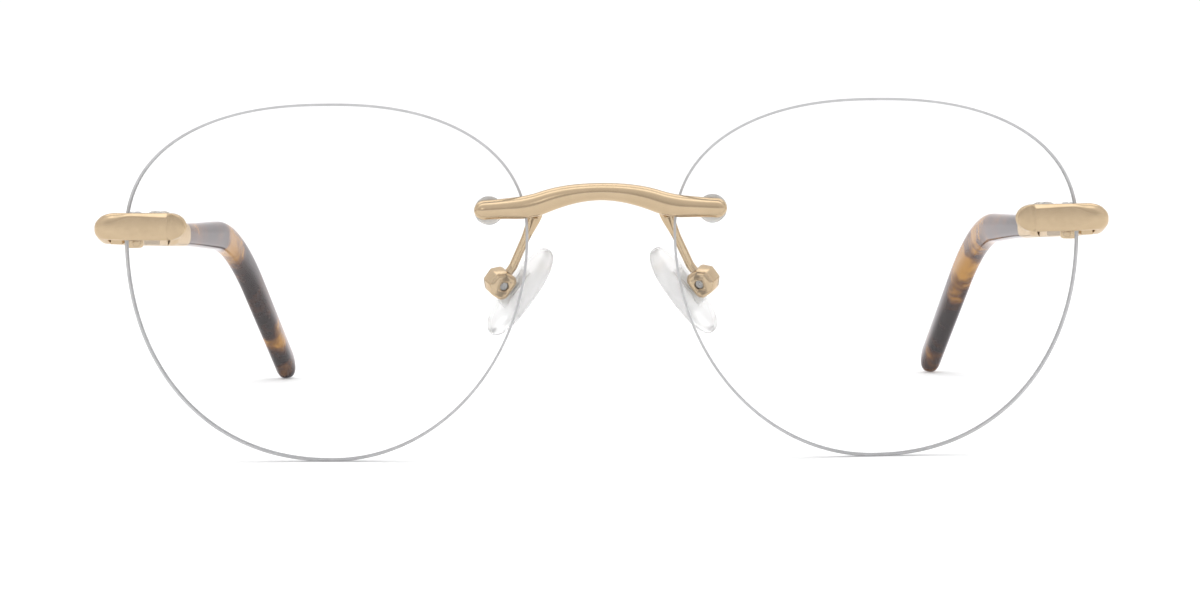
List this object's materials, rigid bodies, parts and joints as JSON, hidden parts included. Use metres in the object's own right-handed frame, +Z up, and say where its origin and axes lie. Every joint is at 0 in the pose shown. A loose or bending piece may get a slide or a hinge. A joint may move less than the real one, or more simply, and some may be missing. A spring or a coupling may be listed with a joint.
{
  "type": "rimless eyeglasses",
  "caption": "Rimless drill-mount eyeglasses: clear lenses on a gold bridge and end pieces, rocking silicone nose pads, folding temples with bent tortoise tips.",
  "frame": {"origin": "centre of the open glasses' bounding box in X and Y, at its lowest point: the plane that the lower lens edges and both temple tips stand on", "axes": "+X to the wearer's left, +Y from the lens fronts back along the temples, +Z up; the glasses stand open, folded nowhere"},
  "size_m": [0.1288, 0.1458, 0.0454],
  "materials": {
    "gold": "polished champagne-gold plating",
    "steel": "fine screws and studs",
    "lens": "clear polished lens, no tint",
    "clear": "clear bushes, washers and pad inserts",
    "silicone": "soft clear silicone, slightly cloudy",
    "nylon": "thin white washers in the hinge",
    "acetate": "tortoise acetate: brown with amber and near-black patches"
  },
  "bodies": {
    "front": {"bridge": "gold", "lens_left": "lens", "bridge_front_washer_left": "clear", "bridge_lens_bush_left": "clear", "bridge_rear_washer_left": "gold", "bridge_nut_left": "gold", "bridge_stud_left": "steel", "endpiece_left": "gold", "endpiece_front_washer_left": "clear", "endpiece_lens_bush_left": "clear", "endpiece_rear_washer_left": "gold", "endpiece_nut_left": "gold", "endpiece_stud_left": "steel", "hinge_front_leaf_left": "gold", "hinge_washer_upper_left": "nylon", "hinge_washer_lower_left": "nylon", "hinge_screw_left": "steel", "pad_arm_left": "gold", "pad_box_left": "gold", "pad_screw_left": "steel", "lens_right": "lens", "bridge_front_washer_right": "clear", "bridge_lens_bush_right": "clear", "bridge_rear_washer_right": "gold", "bridge_nut_right": "gold", "bridge_stud_right": "steel", "endpiece_right": "gold", "endpiece_front_washer_right": "clear", "endpiece_lens_bush_right": "clear", "endpiece_rear_washer_right": "gold", "endpiece_nut_right": "gold", "endpiece_stud_right": "steel", "hinge_front_leaf_right": "gold", "hinge_washer_upper_right": "nylon", "hinge_washer_lower_right": "nylon", "hinge_screw_right": "steel", "pad_arm_right": "gold", "pad_box_right": "gold", "pad_screw_right": "steel"},
    "temple_left": {"hinge_temple_leaf_left": "gold", "temple_arm_left": "gold", "temple_ferrule_left": "gold", "temple_tip_left": "acetate"},
    "pad_left": {"pad_insert_left": "clear", "nose_pad_left": "silicone"},
    "temple_right": {"hinge_temple_leaf_right": "gold", "temple_arm_right": "gold", "temple_ferrule_right": "gold", "temple_tip_right": "acetate"},
    "pad_right": {"pad_insert_right": "clear", "nose_pad_right": "silicone"}
  },
  "joints": [
    {"name": "temple_fold_left", "type": "hinge", "parent": "front", "child": "temple_left", "pos_m": [0.06, -0.05888, 0.0292], "axis": [0, 0, 1], "range_deg": [0, 86]},
    {"name": "temple_fold_right", "type": "hinge", "parent": "front", "child": "temple_right", "pos_m": [-0.06, -0.05888, 0.0292], "axis": [0, 0, -1], "range_deg": [0, 80]},
    {"name": "pad_rock_left", "type": "hinge", "parent": "front", "child": "pad_left", "pos_m": [0.0128, -0.06468, 0.02235], "axis": [0.3291, 0.9135, 0.2391], "range_deg": [-10, 10]},
    {"name": "pad_rock_right", "type": "hinge", "parent": "front", "child": "pad_right", "pos_m": [-0.0128, -0.06468, 0.02235], "axis": [-0.3291, 0.9135, 0.2391], "range_deg": [-10, 10]}
  ]
}
